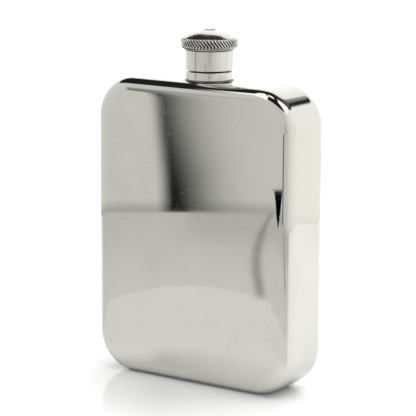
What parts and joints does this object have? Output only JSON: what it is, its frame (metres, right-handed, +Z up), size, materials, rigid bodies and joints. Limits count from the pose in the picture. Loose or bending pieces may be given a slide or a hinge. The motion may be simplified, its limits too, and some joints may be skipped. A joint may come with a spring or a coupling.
{
  "type": "hip flask",
  "caption": "Flat rounded-rectangle metal hip flask with a round neck and a captive hinged screw top under a knurled domed knob.",
  "frame": {"origin": "centre of the flask's footprint, on the surface that it stands on", "axes": "+Z up along the neck; +X along the width, to the viewer's right from the front; the front panel faces -Y and the hinge of the top is at the back, towards +Y"},
  "size_m": [0.0844, 0.0244, 0.1282],
  "materials": {
    "pewter_body": "mirror-polished pewter with fine polishing marks and small pits",
    "pewter_turned": "turned and polished pewter with faint lathe rings",
    "pewter_knob": "polished pewter crown over a knurled rim with dark valleys",
    "pewter_neck": "turned pewter, less polished than the body",
    "solder": "dull grey solder",
    "steel": "plain steel",
    "brass": "machined brass",
    "cork": "pressed cork"
  },
  "bodies": {
    "flask": {"front_shell": "pewter_body", "back_shell": "pewter_body", "seam_solder": "solder", "neck_tube": "pewter_neck", "flange_solder": "solder", "neck_collar": "pewter_turned", "collar_solder": "solder", "hinge_bracket": "pewter_turned"},
    "pin": {"hinge_pin": "steel"},
    "top": {"sleeve": "pewter_turned", "hinge_leaf": "pewter_turned"},
    "knob": {"knob": "pewter_knob", "friction_washer": "steel", "rivet": "pewter_neck", "rivet_washer": "brass", "liner": "brass", "sealing_washer": "cork"}
  },
  "joints": [
    {"name": "top_lift", "type": "slide", "parent": "flask", "child": "pin", "axis": [0, 0, 1], "range_m": [0, 0.0016]},
    {"name": "top_tilt", "type": "hinge", "parent": "pin", "child": "top", "pos_m": [0, 0.0112, 0.11365], "axis": [-1, 0, 0], "range_deg": [0, 105]},
    {"name": "knob_turn", "type": "hinge", "parent": "top", "child": "knob", "pos_m": [0, 0, 0.121], "axis": [0, 0, 1], "range_deg": [0, 360]}
  ],
  "couplings": [
    {"joint": "knob_turn", "follows": "top_lift", "rad_per_m": 3927}
  ]
}
